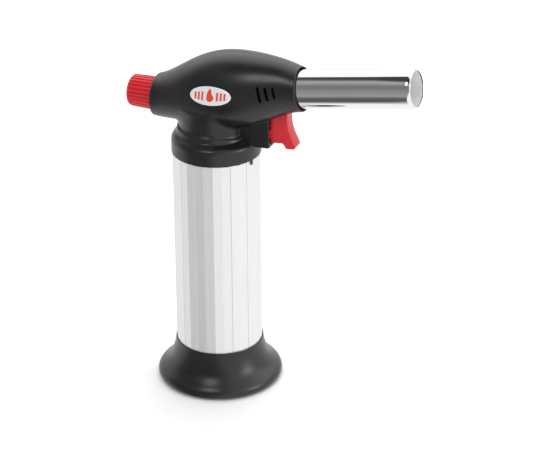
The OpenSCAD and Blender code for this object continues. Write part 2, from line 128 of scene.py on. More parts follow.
def ring_faces(rows, around):
    """Quads between each ring of points and the next."""
    return [(s * around + i, s * around + (i + 1) % around,
             (s + 1) * around + (i + 1) % around, (s + 1) * around + i)
            for s in range(rows - 1) for i in range(around)]


def lathe(name, profile, turns, place=None):
    """Turns a closed outline of (radius, height) about Z. place maps local to world points."""
    verts, faces = [], []
    n = len(profile)
    for k in range(turns):
        a = 2 * math.pi * k / turns
        for r, h in profile:
            verts.append((r * math.cos(a), r * math.sin(a), h))
    for k in range(turns):
        k2 = (k + 1) % turns
        for i in range(n):
            j = (i + 1) % n
            faces.append((k * n + i, k2 * n + i, k2 * n + j, k * n + j))
    if place:
        verts = [place(v) for v in verts]
    obj = new_object(name, verts, faces)
    weld(obj)
    return obj


def along_burner(v):
    """Local Z forward along the tilted burner axis, local X down."""
    x, y, z = v
    return (z * math.cos(TILT) + x * math.sin(TILT), y,
            BURNER_Z + z * math.sin(TILT) - x * math.cos(TILT))


def level_axis(height, start=0.0):
    """Local Z forward along a level axis at this height, local X down."""
    return lambda v: (start + v[2], v[1], height - v[0])


along_knob = level_axis(KNOB_Z)


def spline(points, steps):
    """Smooth curve through the points (Catmull-Rom)."""
    p = [np.array(q, float) for q in points]
    p = [2 * p[0] - p[1]] + p + [2 * p[-1] - p[-2]]
    out = []
    for i in range(1, len(p) - 2):
        a, b, c, d = p[i - 1:i + 3]
        for s in range(steps):
            t = s / steps
            out.append(0.5 * (2 * b + (c - a) * t + (2 * a - 5 * b + 4 * c - d) * t * t
                              + (3 * b - a - 3 * c + d) * t ** 3))
    out.append(p[-2])
    return [tuple(q) for q in out]


def rounded(points, radius, steps=5):
    """Rounds the corners of a closed outline; radius may be one number or a list."""
    out = []
    n = len(points)
    for i in range(n):
        r = radius[i] if isinstance(radius, list) else radius
        p = np.array(points[i], float)
        a = np.array(points[i - 1], float) - p
        b = np.array(points[(i + 1) % n], float) - p
        la, lb = np.linalg.norm(a), np.linalg.norm(b)
        if r <= 0 or la < 1e-6 or lb < 1e-6:
            out.append(tuple(p))
            continue
        d = min(r, la * 0.45, lb * 0.45)
        p0, p1 = p + a / la * d, p + b / lb * d
        for s in range(steps + 1):
            t = s / steps
            out.append(tuple((1 - t) ** 2 * p0 + 2 * t * (1 - t) * p + t * t * p1))
    return out


# ---------------------------------------------------------------- the head as a smooth field

# Distances from the head's spine to its top, its belly and its sides: six control values
# each, from the rear end to the front end
UP = (12.4, 14.5, 36.5, 19.4, 23.2, 12.8)
DOWN = (12.4, 17, 12, 33.5, 10.5, 12.8)
SIDE = (12.4, 16, 25, 25, 17, 12.8)
# The spine starts level at the knob and bends up to the burner's tilt
SPINE_START, SPINE_LENGTH, SPINE_RISE = -35, 87.1, 16.9
REAR_END, FRONT_END = -35.9, 54.0
# Height and radius of the collar, its shoulder, the step and the waist
NECK = ((140, 25.6), (151.6, 25.55), (152.6, 25.4), (153.4, 25.0), (154.2, 24.3), (155.0, 23.2),
        (155.6, 22.2), (156.2, 21.5), (156.8, 21.15), (157.6, 21.05), (158.7, 21.0),
        (159.0, 20.85), (159.4, 20.5), (159.8, 20.0), (160.2, 19.65), (160.8, 19.5), (175, 19.5))
WALL = 2.0  # thickness of the moulded shells
NUDGE = 0.05  # step for measuring how fast a field changes


def curve(c, t):
    """Smooth curve through six control values, for t from 0 to 1."""
    u = 1 - t
    return (c[0] * u ** 5 + 5 * c[1] * u ** 4 * t + 10 * c[2] * u ** 3 * t ** 2
            + 10 * c[3] * u ** 2 * t ** 3 + 5 * c[4] * u * t ** 4 + c[5] * t ** 5)


def smooth_min(a, b, k):
    """Union of two fields with a blend about k wide."""
    h = np.clip(0.5 + 0.5 * (b - a) / k, 0, 1)
    return b + (a - b) * h - k * h * (1 - h)


def smooth_max(a, b, k):
    """Intersection of two fields with a blend about k wide."""
    return -smooth_min(-a, -b, k)


def loft_field(x, y, z):
    """Signed distance, about, to the cigar-shaped upper part of the head."""
    # share of the way along the spine, found in a few rounds because each slice leans
    t = np.clip((x - SPINE_START) / SPINE_LENGTH, -0.1, 1.1)
    for _ in range(3):
        phi = TILT * t
        v = (z - (KNOB_Z + SPINE_RISE * t)) / np.cos(phi)
        t = np.clip((x - SPINE_START + v * np.sin(phi)) / SPINE_LENGTH, -0.1, 1.1)
    tc = np.clip(t, 0, 1)
    v = (z - (KNOB_Z + SPINE_RISE * t)) / np.cos(TILT * t)
    w = curve(SIDE, tc)
    h = np.where(v > 0, curve(UP, tc), curve(DOWN, tc))
    q = np.sqrt((y / w) ** 2 + (v / h) ** 2) + 1e-9
    size = np.sqrt(y * y + v * v)
    # the outline slopes along the axis, so the true distance is a little less
    return size * (1 - 1 / q) * 0.96


def head_field(x, y, z):
    """Signed distance, about, to the outside of the head: below zero inside."""
    loft = loft_field(x, y, z)
    # flat ends with rounded edges
    loft = smooth_max(loft, REAR_END - x, 0.9)
    s = x * math.cos(TILT) + (z - BURNER_Z) * math.sin(TILT)
    loft = smooth_max(loft, s - FRONT_END, 1.3)
    # the waist sits a little behind the middle of the tank
    back = 1.4 * np.clip((z - 153.6) / 2.5, 0, 1)
    r = np.sqrt((x + back) ** 2 + y * y)
    # its upper step dips towards the front
    dip = 2.4 * np.clip((x - 4) / 14, 0, 1) * np.clip((z - 154.5) / 2, 0, 1)
    neck = np.maximum(r - np.interp(z + dip, *np.array(NECK).T), z - 172.0)
    neck = np.maximum(neck, TANK_TOP - z)
    body = smooth_min(loft, neck, 3.0)
    # trigger housing: a flat-sided block with rounded edges, from x 0 to 35, whose top and
    # bottom rise a little towards the front
    e = 0.5
    dx = np.abs(x - 17.5) - (17.5 - e)
    dy = np.abs(y) - (6.5 - e)
    dz = np.abs(z - 164.2 - 0.055 * (x - 35)) - (11.3 - e)
    block = (np.sqrt(np.maximum(dx, 0) ** 2 + np.maximum(dy, 0) ** 2 + np.maximum(dz, 0) ** 2)
             + np.minimum(np.maximum(dx, np.maximum(dy, dz)), 0) - e)
    return smooth_min(body, block, 0.5)


def head_inner(x, y, z):
    """The same as head_field, for the hollow inside the head."""
    return head_field(x, y, z) + WALL


def slope(field, points):
    """Value of the field at each point, and its gradient there."""
    value = field(*points.T)
    ahead = [field(*(points + NUDGE * np.eye(3)[c]).T) - value for c in range(3)]
    return value, np.array(ahead).T / NUDGE


def surface_net(field, lo, hi, step):
    """Quad mesh of the zero surface of field, with its points moved on to that surface."""
    lo, hi = np.array(lo, float), np.array(hi, float)
    n = np.ceil((hi - lo) / step).astype(int) + 1
    grid = np.meshgrid(*(lo[c] + step * np.arange(n[c]) for c in range(3)), indexing="ij")
    values = field(*grid)
    inside = values < 0
    # a cell is mixed where some of its eight corners are inside and some are not
    cell = (slice(None, -1), slice(1, None))
    count = sum(inside[cell[i], cell[j], cell[k]].astype(np.int16)
                for i, j, k in product((0, 1), repeat=3))
    mixed = (count > 0) & (count < 8)
    where = np.argwhere(mixed)
    index = -np.ones(mixed.shape, np.int64)
    index[tuple(where.T)] = np.arange(len(where))
    # each mixed cell gets one point, the mean of the crossings on its twelve edges
    total = np.zeros((len(where), 3))
    hits = np.zeros(len(where))
    for axis in range(3):
        for corner in product((0, 1), repeat=2):
            start = where + np.insert(corner, axis, 0)
            ahead = start + (np.arange(3) == axis)
            f0, f1 = values[tuple(start.T)], values[tuple(ahead.T)]
            ok = (f0 < 0) != (f1 < 0)
            t = np.where(ok, f0 / np.where(ok, f0 - f1, 1), 0)
            p = start.astype(float)
            p[:, axis] += t
            total[ok] += p[ok]
            hits[ok] += 1
    verts = lo + step * total / hits[:, None]
    for _ in range(4):
        f, g = slope(field, verts)
        # a floor under the gradient keeps points near sharp creases from jumping
        move = g * (f / np.maximum((g * g).sum(1), 0.2))[:, None]
        verts = verts - np.clip(move, -step * 0.5, step * 0.5)
    # each grid edge that crosses the surface gets a quad between the four cells round it
    faces = []
    for axis in range(3):
        here = [slice(1, -1)] * 3
        here[axis] = slice(0, -1)
        ahead = list(here)
        ahead[axis] = slice(1, None)
        a, b = inside[tuple(here)], inside[tuple(ahead)]
        spots = np.argwhere(a != b)
        leaving = a[tuple(spots.T)]
        u, v = [m for m in range(3) if m != axis]
        spots[:, [u, v]] += 1
        quad = []
        for du, dv in ((0, 0), (-1, 0), (-1, -1), (0, -1)):
            q = spots.copy()
            q[:, u] += du
            q[:, v] += dv
            quad.append(index[tuple(q.T)])
        quad = np.array(quad).T
        flip = leaving if axis != 1 else ~leaving
        quad[flip] = quad[flip][:, ::-1]
        faces.append(quad)
    return verts, np.concatenate(faces)


def box_object(name, lo, hi):
    """Box between two opposite corners."""
    verts = [(x, y, z) for x in (lo[0], hi[0]) for y in (lo[1], hi[1]) for z in (lo[2], hi[2])]
    faces = [(0, 1, 3, 2), (4, 6, 7, 5), (0, 4, 5, 1), (2, 3, 7, 6), (0, 2, 6, 4), (1, 5, 7, 3)]
    return new_object(name, verts, faces, smooth=False)


def prism(name, outline, y0, y1, place=None):
    """Outline in (x, z), closed by flat sides at y0 and y1."""
    n = len(outline)
    verts = [(p[0], y0, p[1]) for p in outline] + [(p[0], y1, p[1]) for p in outline]
    faces = [tuple(range(n)), tuple(reversed(range(n, 2 * n)))]
    faces += [(i, i + n, (i + 1) % n + n, (i + 1) % n) for i in range(n)]
    if place:
        verts = [place(v) for v in verts]
    obj = new_object(name, verts, faces, smooth=False)
    with editing(obj) as bm:
        bmesh.ops.recalc_face_normals(bm, faces=bm.faces)
    return obj


STEP = 0.7
OPENING = 5.3  # half width of the trigger's opening
SLOT = 4.9  # half width of the trigger's slot under the burner
VENT = 0.8  # half width of an air slot


def make_head():
    """Both halves of the head in one piece, with its hollow and all its openings."""
    lo, hi = (-40, -30, 139), (60, 30, 210)
    v0, f0 = surface_net(head_field, lo, hi, STEP)
    v1, f1 = surface_net(head_inner, lo, hi, STEP * 1.6)
    faces = [tuple(map(int, f)) for f in f0]
    faces += [tuple(int(i) + len(v0) for i in f) for f in f1]
    obj = new_object("head", np.concatenate([v0, v1]), faces)
    with editing(obj) as bm:
        bmesh.ops.recalc_face_normals(bm, faces=bm.faces)
        # the inner surface faces the hollow
        for face in bm.faces:
            if face.verts[0].index >= len(v0):
                face.normal_flip()
    # round openings: collar, knob and burner, each with a broken edge
    cut(obj, lathe("collar_cut", [(0, 138), (25.7, 138), (25.7, TANK_TOP + 0.1),
                                  (25.28, TANK_TOP + 0.5), (25.28, 149.8), (18.6, 149.9),
                                  (18.6, 158), (0, 158)], 144))
    cut(obj, lathe("knob_cut", [(0, -60), (11, -60), (11, -36.3), (10.2, -35.5), (9.95, -34.9),
                                (9.95, -30), (0, -30)], 96, place=along_knob))
    cut(obj, lathe("burner_cut", [(0, 30), (11.45, 30), (11.45, 52.6), (11.9, 53.5),
                                  (12.6, 54.6), (12.6, 60), (0, 60)], 128, place=along_burner))
    cut(obj, prism("housing_cut", [(10, 154.3), (41, 154.9), (41, 173), (10, 173)],
                   -OPENING, OPENING))
    slot = rounded([(29.0, 160), (46.2, 160), (46.2, 178), (29.0, 178)], [0, 2, 2, 0])
    cut(obj, prism("slot_cut", slot, -SLOT, SLOT))
    # three air slots on each side, shorter towards the front
    for k in range(3):
        half = (8.8 - 1.1 * k) / 2
        outline = []
        for a in range(24):
            t = math.radians(a * 15 + 7.5)
            side = 1 if math.sin(t) >= 0 else -1
            outline.append((VENT * math.cos(t), VENT * math.sin(t) + side * (half - VENT)))

        def place(v, at=34.6 + 4 * k):
            return along_burner((-v[2] - 3.2, v[1], at + v[0] - 0.13 * v[2]))
        for y0, y1 in ((-28.3, -11.7), (11.7, 28.3)):
            cut(obj, prism("vent_cut", outline, y0, y1, place))
    return obj


# Half the gap between the two halves of the head and the chamfer on their outer rims, in metres
GAP, CHAMFER = 0.00003, 0.00016


def split_half(obj, name, side):
    """Keeps one side of the centre plane and closes it with a fine chamfer round the rim."""
    half = obj.copy()
    half.data = obj.data.copy()
    half.name = name
    half.data.name = name
    bpy.context.scene.collection.objects.link(half)
    facing = (0, -side, 0)
    with editing(half) as bm:
        geom = list(bm.verts) + list(bm.edges) + list(bm.faces)
        made = bmesh.ops.bisect_plane(bm, geom=geom, dist=1e-7, plane_co=(0, side * GAP, 0),
                                      plane_no=facing, clear_outer=True)
        rim = [e for e in made["geom_cut"] if isinstance(e, bmesh.types.BMEdge) and e.is_valid]
        # the outer rim turns inwards a little, which draws the parting line
        made = bmesh.ops.extrude_edge_only(bm, edges=rim)
        new_verts = [v for v in made["geom"] if isinstance(v, bmesh.types.BMVert)]
        for e in rim:
            for v in e.verts:
                v.co.y = side * CHAMFER
        depth, inwards = slope(head_field, np.array([tuple(v.co) for v in new_verts]) * 1000)
        inwards[:, 1] = 0
        inwards /= np.maximum(np.linalg.norm(inwards, axis=1), 1e-6)[:, None]
        for v, n, f in zip(new_verts, inwards, depth):
            if f > -0.6:
                v.co -= Vector(n) * CHAMFER
        caps = [e for e in bm.edges if e.is_boundary]
        bmesh.ops.triangle_fill(bm, edges=caps, use_beauty=True, normal=facing)
        bmesh.ops.dissolve_degenerate(bm, dist=2e-6, edges=bm.edges)
        bmesh.ops.recalc_face_normals(bm, faces=bm.faces)
    return half


# ---------------------------------------------------------------- materials

def material(name, base, rough, metallic, build, **sockets):
    """Principled material whose build function adds its textures."""
    mat = bpy.data.materials.new(name)
    mat.use_nodes = True
    nt = mat.node_tree
    bsdf = nt.nodes["Principled BSDF"]
    bsdf.inputs["Base Color"].default_value = (*base, 1)
    bsdf.inputs["Roughness"].default_value = rough
    bsdf.inputs["Metallic"].default_value = metallic
    for key, value in sockets.items():
        bsdf.inputs[key.replace("_", " ")].default_value = value
    build(nt, bsdf, base, rough)
    return mat


def node(nt, kind, links=(), **settings):
    """New node with (output, input name) links, and settings that are sockets or properties."""
    n = nt.nodes.new(kind)
    for key, value in settings.items():
        if key in n.inputs:
            n.inputs[key].default_value = value
        else:
            setattr(n, key, value)
    for out, name in links:
        nt.links.new(out, n.inputs[name])
    return n


def texture_space(nt, scale=(1, 1, 1)):
    """Texture coordinates fixed to the object, in metres."""
    tc = node(nt, "ShaderNodeTexCoord")
    mp = node(nt, "ShaderNodeMapping", [(tc.outputs["Object"], "Vector")])
    mp.inputs["Scale"].default_value = scale
    return mp.outputs["Vector"]


def noise(nt, space, scale, detail=3.0, rough=0.5):
    """Noise texture, from 0 to 1."""
    n = node(nt, "ShaderNodeTexNoise", [(space, "Vector")])
    n.inputs["Scale"].default_value = scale
    n.inputs["Detail"].default_value = detail
    n.inputs["Roughness"].default_value = rough
    return n.outputs["Fac"]


def ramp(nt, fac, a, b, lo=0.3, hi=0.7, kind="LINEAR"):
    """Turns the range lo to hi into the range a to b."""
    r = node(nt, "ShaderNodeMapRange", [(fac, "Value")], interpolation_type=kind)
    r.inputs["From Min"].default_value = lo
    r.inputs["From Max"].default_value = hi
    r.inputs["To Min"].default_value = a
    r.inputs["To Max"].default_value = b
    return r.outputs["Result"]


def tint(nt, fac, a, b):
    """Mixes colour a into colour b."""
    m = node(nt, "ShaderNodeMix", data_type="RGBA")
    nt.links.new(fac, m.inputs["Factor"])
    m.inputs["A"].default_value = (*a, 1)
    m.inputs["B"].default_value = (*b, 1)
    return m.outputs["Result"]


def bump(nt, bsdf, fac, distance, strength):
    """Raises the surface by a texture, as shading only."""
    b = node(nt, "ShaderNodeBump", [(fac, "Height")], Distance=distance, Strength=strength)
    nt.links.new(b.outputs["Normal"], bsdf.inputs["Normal"])


def surface(nt, bsdf, base, patch, colour, rough, spread, gloss, lo=0.3, hi=0.7):
    """One texture varies the base colour by share patch, another the roughness by spread."""
    dark, light = (tuple(min(1.0, v * k) for v in base) for k in (1 - patch, 1 + patch))
    nt.links.new(tint(nt, ramp(nt, colour, 0, 1), dark, light), bsdf.inputs["Base Color"])
    nt.links.new(ramp(nt, gloss, rough - spread / 2, rough + spread / 2, lo, hi),
                 bsdf.inputs["Roughness"])


def moulded(grain, depth, spread=0.06, patch=0.12):
    """Spark-eroded plastic: fine grain, soft patches in colour and gloss."""
    def build(nt, bsdf, base, rough):
        space = texture_space(nt)
        fine = noise(nt, space, grain, 2.0)
        broad = noise(nt, space, 60, 3.0)
        surface(nt, bsdf, base, patch, broad, rough, spread, broad)
        bump(nt, bsdf, fine, depth, 0.5)
    return build


def drawn(axis, scale, stretch, depth, spread, patch=0.05):
    """Metal with fine lines along one axis, from extruding, drawing or brushing."""
    def build(nt, bsdf, base, rough):
        k = [1.0, 1.0, 1.0]
        k[axis] = 1.0 / stretch
        space = texture_space(nt, tuple(k))
        lines = noise(nt, space, scale, 4.0, 0.6)
        broad = noise(nt, texture_space(nt), 45, 3.0)
        mixed = node(nt, "ShaderNodeMath", [(lines, 0), (broad, 1)], operation="ADD")
        surface(nt, bsdf, base, patch, lines, rough, spread, mixed.outputs[0], 0.7, 1.3)
        bump(nt, bsdf, lines, depth, 0.4)
    return build


def turned(scale, depth, spread, patch=0.1):
    """Machined or cast metal with an all-round fine texture."""
    def build(nt, bsdf, base, rough):
        space = texture_space(nt)
        fine = noise(nt, space, scale, 3.0)
        broad = noise(nt, space, 120, 2.0)
        surface(nt, bsdf, base, patch, broad, rough, spread, fine)
        bump(nt, bsdf, fine, depth, 0.4)
    return build


BLACK = material("black_abs", (0.0105, 0.0105, 0.011), 0.30, 0.0, moulded(2600, 0.00006))
RED = material("red_abs", (0.60, 0.012, 0.022), 0.30, 0.0, moulded(1900, 0.00003, 0.05, 0.06),
               Coat_Weight=0.15, Coat_Roughness=0.2)
ALU = material("anodised_aluminium", (0.80, 0.805, 0.81), 0.34, 0.5,
               drawn(2, 1500, 60, 0.00002, 0.08, 0.025), Anisotropic=0.35)
CAST = material("cast_aluminium", (0.55, 0.56, 0.58), 0.5, 1.0, turned(900, 0.00006, 0.15))
CHROME = material("polished_steel", (0.90, 0.90, 0.91), 0.06, 1.0,
                  drawn(0, 900, 30, 0.000004, 0.03, 0.015))
SATIN = material("satin_steel", (0.98, 0.98, 0.98), 0.6, 0.0, turned(1100, 0.00001, 0.1, 0.04))
# painted shade: dark steel for the tube's end inside the head and a painted dark reflection on the
# mouth's inner edge
PAINTED_SHADE_STEEL = material("steel_painted_dark", (0.085, 0.08, 0.078), 0.55, 0.6,
                 turned(1100, 0.00001, 0.1, 0.04))
STEEL = material("bright_steel", (0.58, 0.58, 0.60), 0.3, 1.0, turned(1500, 0.00002, 0.12))
BRASS = material("brass", (0.72, 0.50, 0.19), 0.3, 1.0, turned(1200, 0.00003, 0.14))
RUBBER = material("black_rubber", (0.018, 0.018, 0.018), 0.7, 0.0, moulded(1500, 0.00008, 0.1, 0.2))
CERAMIC = material("white_ceramic", (0.82, 0.80, 0.75), 0.3, 0.0, moulded(700, 0.00002, 0.1, 0.05))
FILTER = material("sintered_filter", (0.68, 0.64, 0.55), 0.85, 0.0, moulded(1400, 0.0002, 0.1, 0.2))
PIEZO = material("piezo_housing", (0.66, 0.62, 0.52), 0.45, 0.0, moulded(1200, 0.00004))
SHEATH = material("silicone_sheath", (0.03, 0.03, 0.03), 0.5, 0.0, moulded(900, 0.00004))
SILVER = material("silver_print", (0.88, 0.885, 0.895), 0.34, 0.3, turned(2500, 0.00001, 0.1, 0.03))
INK = material("red_print", (0.72, 0.05, 0.035), 0.35, 0.0, moulded(1500, 0.00001, 0.06, 0.05))

BY_SLOT = {
    "black_plastic": BLACK, "black_rubber": RUBBER, "steel": STEEL, "aluminium": ALU,
    "cast_aluminium": CAST, "brass": BRASS, "filter": FILTER, "silver_label": SILVER,
    "red_ink": INK, "red_plastic": RED, "polished_steel": CHROME, "ceramic": CERAMIC,
    "lead_sheath": SHEATH, "piezo_plastic": PIEZO,
}


def dress(obj, mat):
    """Makes mat the only material of the object."""
    obj.data.materials.clear()
    obj.data.materials.append(mat)
    for p in obj.data.polygons:
        p.material_index = 0


for entry in frame["record"]["subparts"]:
    dress(frame["nodes"][entry["node"]], BY_SLOT[entry["material_slot"]])


def finish_piece(obj, body, replaced, mat):
    """Gives a piece its material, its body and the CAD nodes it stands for."""
    dress(obj, mat)
    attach(obj, body)
    if replaced:
        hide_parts(*replaced)


# ---------------------------------------------------------------- head pieces

def project(px, pz, height):
    """Point of the head's right side at (x, z), moved out by height."""
    def field_at(y):
        return float(head_field(np.array(px), np.array(y), np.array(pz)))

    y = -10.0
    for _ in range(12):
        f = field_at(y)
        y -= (f - height) / ((field_at(y + NUDGE) - f) / NUDGE)
    return (px, y, pz)


head = make_head()
right = split_half(head, "head_right_skin", -1)
left = split_half(head, "head_left_skin", 1)
bpy.data.objects.remove(head)
# the three shell screws go in from the left, each down a well in a boss
BOSS, WELL = 2.9, 2.15
for sx, sz in ((-22, 184.8), (25, 196.6), (-15.6, 157.6)):
    def sunk(v, sx=sx, sz=sz):
        return sx + v[0], v[2], sz - v[1]

    # the boss ends just under the skin, all round
    reach = min(-project(sx + dx, sz + dz, -0.4)[1]
                for dx, dz in ((0, 0), (BOSS, 0), (-BOSS, 0), (0, BOSS), (0, -BOSS)))
    cut(left, lathe("boss", [(0, 6.5), (BOSS, 6.5), (BOSS, reach), (0, reach)], 40, sunk), "UNION")
    cut(left, lathe("well", [(0, 8.05), (WELL, 8.05), (WELL, 30), (0, 30)], 40, sunk))
for obj, cad in ((right, "head_shell_right"), (left, "head_shell_left")):
    sharpen(obj, 35)
    finish_piece(obj, "torch", [cad], BLACK)

# small locking tab under the collar
tab_at = math.radians(-15)
tab = prism("collar_tab", rounded([(-0.8, 141.6), (0.8, 141.6), (0.8, 145), (-0.8, 145)], 0.5, 3),
            25.1, 25.62,
            lambda v: (v[1] * math.cos(tab_at) - v[0] * math.sin(tab_at),
                       v[1] * math.sin(tab_at) + v[0] * math.cos(tab_at), v[2]))
finish_piece(tab, "torch", [], BLACK)


BADGE_X, BADGE_Z, BADGE_LEAN = 6, 186, math.radians(6)


def badge_point(u, v, height):
    """u along the leaning badge, v across it, both from its centre."""
    along, across = math.cos(BADGE_LEAN), math.sin(BADGE_LEAN)
    return project(BADGE_X + u * along - v * across, BADGE_Z + u * across + v * along, height)


def conformal(name, outline_at, rings, low, top, around=72):
    """Closed patch that follows the head. outline_at(angle, k) gives (u, v) at share k of the
    way out, top(k) the height of its face there, and low the height of its back."""
    verts = []
    for k in rings:
        for i in range(around):
            u, v = outline_at(2 * math.pi * i / around, min(k, 1.0))
            verts.append(badge_point(u, v, top(k)))
    base = len(verts)
    for i in range(around):
        u, v = outline_at(2 * math.pi * i / around, 1.0)
        verts.append(badge_point(u, v, low))
    verts.append(badge_point(*outline_at(0, 0.0), top(0)))
    verts.append(badge_point(*outline_at(0, 0.0), low))
    n = len(rings)
    faces = ring_faces(n, around)
    for i in range(around):
        j = (i + 1) % around
        faces.append((len(verts) - 2, j, i))
        faces.append(((n - 1) * around + i, (n - 1) * around + j, base + j, base + i))
        faces.append((len(verts) - 1, base + i, base + j))
    obj = new_object(name, verts, faces)
    sharpen(obj, 40)
    return obj


def oval(half_length, half_height):
    """Outline of an oval badge, for conformal."""
    return lambda a, k: (half_length * k * math.cos(a), half_height * k * math.sin(a))


BADGE_RINGS = [0.2, 0.4, 0.6, 0.75, 0.88, 0.95, 0.98, 1.0]
plate = conformal("badge_face", oval(12.7, 5.25), BADGE_RINGS, -0.5,
                  lambda k: 0.28 if k < 0.97 else 0.28 - 0.12 * (k - 0.97) / 0.03)
finish_piece(plate, "torch", ["badge_plate"], SILVER)
bezel = conformal("badge_bezel", oval(13.1, 5.65), BADGE_RINGS, -0.5, lambda k: 0.12)
finish_piece(bezel, "torch", [], BLACK)


def flame(a, k):
    """Rounded flame drop with its tip up and a little to the front."""
    r = 2.55 * (1 + 0.10 * math.cos(3 * a + 0.6))
    lift = max(0.0, math.sin(a)) ** 6 * 2.1
    return (k * (r * 0.85 * math.cos(a) + lift * 0.25), k * (r * math.sin(a) + lift) - 0.55)


PRINT = 0.34  # height of the print above the head
sign = conformal("badge_sign", flame, [0.3, 0.6, 0.85, 1.0], 0.1, lambda k: PRINT)
finish_piece(sign, "torch", ["badge_flame"], INK)
# three leaning bars on each side of the flame
for side in (-1, 1):
    for k in (2, 3, 4):
        def bar(a, share, k=k, side=side):
            c, t = math.cos(a), math.sin(a)
            u = share * 0.62 * math.copysign(abs(c) ** 0.25, c)
            v = share * (2.95 - 0.26 * k) * math.copysign(abs(t) ** 0.25, t)
            return side * (0.2 + 2.2 * k) + u + 0.12 * v, v

        mark = conformal("badge_bar", bar, [0.5, 1.0], 0.1, lambda share: PRINT, 32)
        finish_piece(mark, "torch", [], INK)

# ---------------------------------------------------------------- foot

foot_out = spline([(35.3, 0.5), (36.1, 1.4), (36.4, 3.0), (35.95, 4.9), (34.5, 6.7), (32.4, 8.6),
                   (30.3, 10.8), (28.6, 13.4), (27.4, 16.4), (26.5, 19.4), (25.9, 22.2),
                   (25.6, 24.6)], 5)
foot_profile = ([(29.2, 0.5), (30.0, 0.5), (30.0, 1.75), (33.5, 1.75), (33.5, 0.5)] + foot_out
                + [(25.55, 25.0), (25.4, 25.2), (25.25, 25.2), (25.15, 25.0), (25.15, 17.2),
                   (4.8, 17.2), (4.8, 14.1), (23.6, 14.0), (25.4, 13.2), (27.6, 10.6),
                   (29.0, 7.0)])
foot = lathe("foot_bell", foot_profile, 220)
for degrees in (30, 150, 270):
    hx, hy = 14 * math.cos(math.radians(degrees)), 14 * math.sin(math.radians(degrees))
    cut(foot, lathe("screw_hole", [(0, 9), (1.75, 9), (1.75, 20), (0, 20)], 32,
                    lambda v: (v[0] + hx, v[1] + hy, v[2])))
sharpen(foot, 32)
finish_piece(foot, "torch", ["base_foot"], BLACK)

pad = lathe("foot_pad", rounded([(30.1, 0.0), (33.4, 0.0), (33.4, 1.7), (30.1, 1.7)],
                                [0.5, 0.5, 0, 0], 4), 160)
sharpen(pad, 50)
finish_piece(pad, "torch", ["base_pad"], RUBBER)

# ---------------------------------------------------------------- fluted tank

PANELS, PANEL = 15, 24  # panels round the tank, and degrees each
TANK_BORE = 23.2


def tank_outline():
    """Panels between fine grooves, each with a soft ridge down its middle."""
    points = []
    for k in range(PANELS):
        for share in (0, 0.012, 0.02, 0.03, 0.045, 0.12, 0.22, 0.32, 0.42, 0.47, 0.5,
                      0.53, 0.58, 0.68, 0.78, 0.88, 0.955, 0.97, 0.98, 0.988):
            a = math.radians(PANEL * (k + share))
            d = min(share, 1 - share)
            groove = 0.42 * max(0.0, 1 - d / 0.03) ** 0.7 if d < 0.03 else 0.0
            # each half panel is nearly flat, so the ridge and the groove edges stand a little proud
            flat = math.radians(PANEL * abs(abs(share - 0.5) - 0.25))
            r = 24.9 * math.cos(math.radians(PANEL / 4)) / math.cos(flat) + 0.1
            points.append(((r - groove) * math.cos(a), (r - groove) * math.sin(a)))
    return points


def tank_mesh():
    """Outside in a few levels, a plain round bore, and flat ends between the two."""
    outline = tank_outline()
    levels = [20.5, 60, 100, 147]
    n = len(outline)
    verts = [(x, y, z) for z in levels for x, y in outline]
    verts += [(TANK_BORE * math.cos(2 * math.pi * i / n),
               TANK_BORE * math.sin(2 * math.pi * i / n), z)
              for z in (levels[0], levels[-1]) for i in range(n)]
    faces = ring_faces(len(levels), n)
    top_ring, low_bore, top_bore = ((len(levels) + k) * n for k in (-1, 0, 1))
    for i in range(n):
        j = (i + 1) % n
        faces.append((low_bore + j, low_bore + i, top_bore + i, top_bore + j))
        faces.append((i, low_bore + i, low_bore + j, j))
        faces.append((top_ring + j, top_bore + j, top_bore + i, top_ring + i))
    obj = new_object("grip_tank", verts, faces)
    sharpen(obj, 8)
    return obj


tank = tank_mesh()
finish_piece(tank, "torch", ["tank_sleeve"], ALU)

# ---------------------------------------------------------------- burner tube

TUBE, BORE = 11.0, 10.4
MOUTH, MOUTH_RADIUS = 120.9, 9.95  # distance along the axis to the mouth, and its opening
HIDDEN = 51.5  # up to here the tube is inside the head
tube_profile = [(BORE, 40.2), (10.7, 40.0), (TUBE, 40.2), (TUBE, HIDDEN), (TUBE, 70), (TUBE, 100),
                (TUBE, MOUTH - 2.4), (10.93, MOUTH - 1.9), (10.78, MOUTH - 1.4),
                (10.6, MOUTH - 0.9), (10.42, MOUTH - 0.45), (10.25, MOUTH - 0.12), (10.1, MOUTH),
                (MOUTH_RADIUS, MOUTH - 0.12), (MOUTH_RADIUS, MOUTH - 0.75), (10.1, MOUTH - 1.2),
                (BORE, MOUTH - 2.6), (BORE, 100), (BORE, 70)]
tube = lathe("burner_skin", tube_profile, 256, along_burner)
sharpen(tube, 40)
finish_piece(tube, "torch", ["burner_tube"], CHROME)
# the bore of the tube is satin, not polished. The end inside the head is painted dark as painted
# shade for the tube seen through the air slots, and the inner edge of the mouth is painted dark as
# a painted dark reflection on the rim
tube.data.materials.append(SATIN)
tube.data.materials.append(PAINTED_SHADE_STEEL)
axis = Vector((math.cos(TILT), 0, math.sin(TILT)))
for p in tube.data.polygons:
    c = p.center - Vector((0, 0, BURNER_Z * MM))
    along = c.dot(axis) / MM
    out = (c - axis * c.dot(axis)).length / MM
    in_bore = out < BORE + 0.05
    if in_bore and along < MOUTH - 0.7:
        p.material_index = 1
    elif (along < HIDDEN and not in_bore) or out < MOUTH_RADIUS + 0.03:
        p.material_index = 2

# ---------------------------------------------------------------- flame knob

